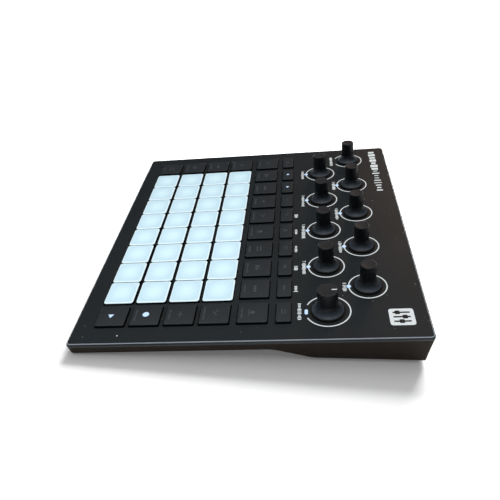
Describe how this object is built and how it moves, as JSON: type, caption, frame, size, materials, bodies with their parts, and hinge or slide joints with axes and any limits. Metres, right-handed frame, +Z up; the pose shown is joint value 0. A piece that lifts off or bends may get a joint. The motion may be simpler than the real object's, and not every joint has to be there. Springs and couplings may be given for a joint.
{
  "type": "pad groove box",
  "caption": "Tabletop pad controller and groove box: lit square pads, black keys and turning knobs on a leaning panel, with audio and note sockets behind.",
  "frame": {"origin": "middle of the bounding box's footprint, on the table plane under the feet", "axes": "+X to the player's right, +Y away from the player to the rear sockets, +Z up; the panel leans 4.25 degrees up to the rear"},
  "size_m": [0.24, 0.2099, 0.0387],
  "materials": {
    "pad_silicone": "lit translucent silicone, satin",
    "key_plastic": "satin black",
    "knob_rubber": "soft satin black",
    "panel_plastic": "fine-textured charcoal",
    "case_plastic": "fine-textured black",
    "mat_rubber": "matt black",
    "circuit_board": "green solder mask",
    "battery_wrap": "blue shrink wrap",
    "encoder_metal": "stamped steel",
    "socket_plastic": "moulded black",
    "socket_steel": "plated steel",
    "foot_rubber": "matt black",
    "screw_steel": "black zinc"
  },
  "bodies": {
    "case": {"top_case": "panel_plastic", "bottom_case": "case_plastic", "rear_panel": "case_plastic", "key_mat": "mat_rubber", "key_board": "circuit_board", "main_board": "circuit_board", "battery_pack": "battery_wrap", "encoder_bodies": "encoder_metal", "midi_sockets": "socket_plastic", "audio_jacks": "socket_plastic", "usb_socket": "socket_steel", "feet": "foot_rubber", "case_screws": "screw_steel"},
    "pad_row1_col1": {"pad_row1_col1": "pad_silicone"},
    "pad_row1_col2": {"pad_row1_col2": "pad_silicone"},
    "pad_row1_col3": {"pad_row1_col3": "pad_silicone"},
    "pad_row1_col4": {"pad_row1_col4": "pad_silicone"},
    "pad_row1_col5": {"pad_row1_col5": "pad_silicone"},
    "pad_row1_col6": {"pad_row1_col6": "pad_silicone"},
    "pad_row1_col7": {"pad_row1_col7": "pad_silicone"},
    "pad_row1_col8": {"pad_row1_col8": "pad_silicone"},
    "pad_row2_col1": {"pad_row2_col1": "pad_silicone"},
    "pad_row2_col2": {"pad_row2_col2": "pad_silicone"},
    "pad_row2_col3": {"pad_row2_col3": "pad_silicone"},
    "pad_row2_col4": {"pad_row2_col4": "pad_silicone"},
    "pad_row2_col5": {"pad_row2_col5": "pad_silicone"},
    "pad_row2_col6": {"pad_row2_col6": "pad_silicone"},
    "pad_row2_col7": {"pad_row2_col7": "pad_silicone"},
    "pad_row2_col8": {"pad_row2_col8": "pad_silicone"},
    "pad_row3_col1": {"pad_row3_col1": "pad_silicone"},
    "pad_row3_col2": {"pad_row3_col2": "pad_silicone"},
    "pad_row3_col3": {"pad_row3_col3": "pad_silicone"},
    "pad_row3_col4": {"pad_row3_col4": "pad_silicone"},
    "pad_row3_col5": {"pad_row3_col5": "pad_silicone"},
    "pad_row3_col6": {"pad_row3_col6": "pad_silicone"},
    "pad_row3_col7": {"pad_row3_col7": "pad_silicone"},
    "pad_row3_col8": {"pad_row3_col8": "pad_silicone"},
    "pad_row4_col1": {"pad_row4_col1": "pad_silicone"},
    "pad_row4_col2": {"pad_row4_col2": "pad_silicone"},
    "pad_row4_col3": {"pad_row4_col3": "pad_silicone"},
    "pad_row4_col4": {"pad_row4_col4": "pad_silicone"},
    "pad_row4_col5": {"pad_row4_col5": "pad_silicone"},
    "pad_row4_col6": {"pad_row4_col6": "pad_silicone"},
    "pad_row4_col7": {"pad_row4_col7": "pad_silicone"},
    "pad_row4_col8": {"pad_row4_col8": "pad_silicone"},
    "left_buttons": {"left_buttons": "key_plastic"},
    "right_buttons": {"right_buttons": "key_plastic"},
    "track_buttons": {"track_buttons": "key_plastic"},
    "small_buttons": {"small_buttons": "key_plastic"},
    "volume_knob": {"volume_knob": "knob_rubber"},
    "macro_knob_1": {"macro_knob_1": "knob_rubber"},
    "macro_knob_2": {"macro_knob_2": "knob_rubber"},
    "macro_knob_3": {"macro_knob_3": "knob_rubber"},
    "macro_knob_4": {"macro_knob_4": "knob_rubber"},
    "macro_knob_5": {"macro_knob_5": "knob_rubber"},
    "macro_knob_6": {"macro_knob_6": "knob_rubber"},
    "macro_knob_7": {"macro_knob_7": "knob_rubber"},
    "macro_knob_8": {"macro_knob_8": "knob_rubber"},
    "filter_knob": {"filter_knob": "knob_rubber"},
    "power_button": {"power_button": "key_plastic"}
  },
  "joints": [
    {"name": "pad_row1_col1_press", "type": "slide", "parent": "case", "child": "pad_row1_col1", "axis": [0, 0.0741, -0.9973], "range_m": [0, 0.0006], "stiffness_N_per_m": 400, "springref_m": -0.0006},
    {"name": "pad_row1_col2_press", "type": "slide", "parent": "case", "child": "pad_row1_col2", "axis": [0, 0.0741, -0.9973], "range_m": [0, 0.0006], "stiffness_N_per_m": 400, "springref_m": -0.0006},
    {"name": "pad_row1_col3_press", "type": "slide", "parent": "case", "child": "pad_row1_col3", "axis": [0, 0.0741, -0.9973], "range_m": [0, 0.0006], "stiffness_N_per_m": 400, "springref_m": -0.0006},
    {"name": "pad_row1_col4_press", "type": "slide", "parent": "case", "child": "pad_row1_col4", "axis": [0, 0.0741, -0.9973], "range_m": [0, 0.0006], "stiffness_N_per_m": 400, "springref_m": -0.0006},
    {"name": "pad_row1_col5_press", "type": "slide", "parent": "case", "child": "pad_row1_col5", "axis": [0, 0.0741, -0.9973], "range_m": [0, 0.0006], "stiffness_N_per_m": 400, "springref_m": -0.0006},
    {"name": "pad_row1_col6_press", "type": "slide", "parent": "case", "child": "pad_row1_col6", "axis": [0, 0.0741, -0.9973], "range_m": [0, 0.0006], "stiffness_N_per_m": 400, "springref_m": -0.0006},
    {"name": "pad_row1_col7_press", "type": "slide", "parent": "case", "child": "pad_row1_col7", "axis": [0, 0.0741, -0.9973], "range_m": [0, 0.0006], "stiffness_N_per_m": 400, "springref_m": -0.0006},
    {"name": "pad_row1_col8_press", "type": "slide", "parent": "case", "child": "pad_row1_col8", "axis": [0, 0.0741, -0.9973], "range_m": [0, 0.0006], "stiffness_N_per_m": 400, "springref_m": -0.0006},
    {"name": "pad_row2_col1_press", "type": "slide", "parent": "case", "child": "pad_row2_col1", "axis": [0, 0.0741, -0.9973], "range_m": [0, 0.0006], "stiffness_N_per_m": 400, "springref_m": -0.0006},
    {"name": "pad_row2_col2_press", "type": "slide", "parent": "case", "child": "pad_row2_col2", "axis": [0, 0.0741, -0.9973], "range_m": [0, 0.0006], "stiffness_N_per_m": 400, "springref_m": -0.0006},
    {"name": "pad_row2_col3_press", "type": "slide", "parent": "case", "child": "pad_row2_col3", "axis": [0, 0.0741, -0.9973], "range_m": [0, 0.0006], "stiffness_N_per_m": 400, "springref_m": -0.0006},
    {"name": "pad_row2_col4_press", "type": "slide", "parent": "case", "child": "pad_row2_col4", "axis": [0, 0.0741, -0.9973], "range_m": [0, 0.0006], "stiffness_N_per_m": 400, "springref_m": -0.0006},
    {"name": "pad_row2_col5_press", "type": "slide", "parent": "case", "child": "pad_row2_col5", "axis": [0, 0.0741, -0.9973], "range_m": [0, 0.0006], "stiffness_N_per_m": 400, "springref_m": -0.0006},
    {"name": "pad_row2_col6_press", "type": "slide", "parent": "case", "child": "pad_row2_col6", "axis": [0, 0.0741, -0.9973], "range_m": [0, 0.0006], "stiffness_N_per_m": 400, "springref_m": -0.0006},
    {"name": "pad_row2_col7_press", "type": "slide", "parent": "case", "child": "pad_row2_col7", "axis": [0, 0.0741, -0.9973], "range_m": [0, 0.0006], "stiffness_N_per_m": 400, "springref_m": -0.0006},
    {"name": "pad_row2_col8_press", "type": "slide", "parent": "case", "child": "pad_row2_col8", "axis": [0, 0.0741, -0.9973], "range_m": [0, 0.0006], "stiffness_N_per_m": 400, "springref_m": -0.0006},
    {"name": "pad_row3_col1_press", "type": "slide", "parent": "case", "child": "pad_row3_col1", "axis": [0, 0.0741, -0.9973], "range_m": [0, 0.0006], "stiffness_N_per_m": 400, "springref_m": -0.0006},
    {"name": "pad_row3_col2_press", "type": "slide", "parent": "case", "child": "pad_row3_col2", "axis": [0, 0.0741, -0.9973], "range_m": [0, 0.0006], "stiffness_N_per_m": 400, "springref_m": -0.0006},
    {"name": "pad_row3_col3_press", "type": "slide", "parent": "case", "child": "pad_row3_col3", "axis": [0, 0.0741, -0.9973], "range_m": [0, 0.0006], "stiffness_N_per_m": 400, "springref_m": -0.0006},
    {"name": "pad_row3_col4_press", "type": "slide", "parent": "case", "child": "pad_row3_col4", "axis": [0, 0.0741, -0.9973], "range_m": [0, 0.0006], "stiffness_N_per_m": 400, "springref_m": -0.0006},
    {"name": "pad_row3_col5_press", "type": "slide", "parent": "case", "child": "pad_row3_col5", "axis": [0, 0.0741, -0.9973], "range_m": [0, 0.0006], "stiffness_N_per_m": 400, "springref_m": -0.0006},
    {"name": "pad_row3_col6_press", "type": "slide", "parent": "case", "child": "pad_row3_col6", "axis": [0, 0.0741, -0.9973], "range_m": [0, 0.0006], "stiffness_N_per_m": 400, "springref_m": -0.0006},
    {"name": "pad_row3_col7_press", "type": "slide", "parent": "case", "child": "pad_row3_col7", "axis": [0, 0.0741, -0.9973], "range_m": [0, 0.0006], "stiffness_N_per_m": 400, "springref_m": -0.0006},
    {"name": "pad_row3_col8_press", "type": "slide", "parent": "case", "child": "pad_row3_col8", "axis": [0, 0.0741, -0.9973], "range_m": [0, 0.0006], "stiffness_N_per_m": 400, "springref_m": -0.0006},
    {"name": "pad_row4_col1_press", "type": "slide", "parent": "case", "child": "pad_row4_col1", "axis": [0, 0.0741, -0.9973], "range_m": [0, 0.0006], "stiffness_N_per_m": 400, "springref_m": -0.0006},
    {"name": "pad_row4_col2_press", "type": "slide", "parent": "case", "child": "pad_row4_col2", "axis": [0, 0.0741, -0.9973], "range_m": [0, 0.0006], "stiffness_N_per_m": 400, "springref_m": -0.0006},
    {"name": "pad_row4_col3_press", "type": "slide", "parent": "case", "child": "pad_row4_col3", "axis": [0, 0.0741, -0.9973], "range_m": [0, 0.0006], "stiffness_N_per_m": 400, "springref_m": -0.0006},
    {"name": "pad_row4_col4_press", "type": "slide", "parent": "case", "child": "pad_row4_col4", "axis": [0, 0.0741, -0.9973], "range_m": [0, 0.0006], "stiffness_N_per_m": 400, "springref_m": -0.0006},
    {"name": "pad_row4_col5_press", "type": "slide", "parent": "case", "child": "pad_row4_col5", "axis": [0, 0.0741, -0.9973], "range_m": [0, 0.0006], "stiffness_N_per_m": 400, "springref_m": -0.0006},
    {"name": "pad_row4_col6_press", "type": "slide", "parent": "case", "child": "pad_row4_col6", "axis": [0, 0.0741, -0.9973], "range_m": [0, 0.0006], "stiffness_N_per_m": 400, "springref_m": -0.0006},
    {"name": "pad_row4_col7_press", "type": "slide", "parent": "case", "child": "pad_row4_col7", "axis": [0, 0.0741, -0.9973], "range_m": [0, 0.0006], "stiffness_N_per_m": 400, "springref_m": -0.0006},
    {"name": "pad_row4_col8_press", "type": "slide", "parent": "case", "child": "pad_row4_col8", "axis": [0, 0.0741, -0.9973], "range_m": [0, 0.0006], "stiffness_N_per_m": 400, "springref_m": -0.0006},
    {"name": "left_buttons_press", "type": "slide", "parent": "case", "child": "left_buttons", "axis": [0, 0.0741, -0.9973], "range_m": [0, 0.0006], "stiffness_N_per_m": 600, "springref_m": -0.0006},
    {"name": "right_buttons_press", "type": "slide", "parent": "case", "child": "right_buttons", "axis": [0, 0.0741, -0.9973], "range_m": [0, 0.0006], "stiffness_N_per_m": 600, "springref_m": -0.0006},
    {"name": "track_buttons_press", "type": "slide", "parent": "case", "child": "track_buttons", "axis": [0, 0.0741, -0.9973], "range_m": [0, 0.0006], "stiffness_N_per_m": 600, "springref_m": -0.0006},
    {"name": "small_buttons_press", "type": "slide", "parent": "case", "child": "small_buttons", "axis": [0, 0.0741, -0.9973], "range_m": [0, 0.0006], "stiffness_N_per_m": 600, "springref_m": -0.0006},
    {"name": "volume_knob_turn", "type": "hinge", "parent": "case", "child": "volume_knob", "pos_m": [-0.0972, 0.07258, 0.0219], "axis": [0, -0.0741, 0.9973], "range_deg": [-140, 140]},
    {"name": "macro_knob_1_turn", "type": "hinge", "parent": "case", "child": "macro_knob_1", "pos_m": [-0.0758, 0.04835, 0.0201], "axis": [0, -0.0741, 0.9973], "continuous": true},
    {"name": "macro_knob_2_turn", "type": "hinge", "parent": "case", "child": "macro_knob_2", "pos_m": [-0.0544, 0.07258, 0.0219], "axis": [0, -0.0741, 0.9973], "continuous": true},
    {"name": "macro_knob_3_turn", "type": "hinge", "parent": "case", "child": "macro_knob_3", "pos_m": [-0.033, 0.04835, 0.0201], "axis": [0, -0.0741, 0.9973], "continuous": true},
    {"name": "macro_knob_4_turn", "type": "hinge", "parent": "case", "child": "macro_knob_4", "pos_m": [-0.0116, 0.07258, 0.0219], "axis": [0, -0.0741, 0.9973], "continuous": true},
    {"name": "macro_knob_5_turn", "type": "hinge", "parent": "case", "child": "macro_knob_5", "pos_m": [0.0098, 0.04835, 0.0201], "axis": [0, -0.0741, 0.9973], "continuous": true},
    {"name": "macro_knob_6_turn", "type": "hinge", "parent": "case", "child": "macro_knob_6", "pos_m": [0.0312, 0.07258, 0.0219], "axis": [0, -0.0741, 0.9973], "continuous": true},
    {"name": "macro_knob_7_turn", "type": "hinge", "parent": "case", "child": "macro_knob_7", "pos_m": [0.0526, 0.04835, 0.0201], "axis": [0, -0.0741, 0.9973], "continuous": true},
    {"name": "macro_knob_8_turn", "type": "hinge", "parent": "case", "child": "macro_knob_8", "pos_m": [0.074, 0.07258, 0.0219], "axis": [0, -0.0741, 0.9973], "continuous": true},
    {"name": "filter_knob_turn", "type": "hinge", "parent": "case", "child": "filter_knob", "pos_m": [0.0959, 0.04755, 0.02004], "axis": [0, -0.0741, 0.9973], "range_deg": [-140, 140]},
    {"name": "power_button_press", "type": "slide", "parent": "case", "child": "power_button", "axis": [0, -0.9973, -0.0741], "range_m": [0, 0.0008], "stiffness_N_per_m": 400, "springref_m": -0.0006}
  ]
}
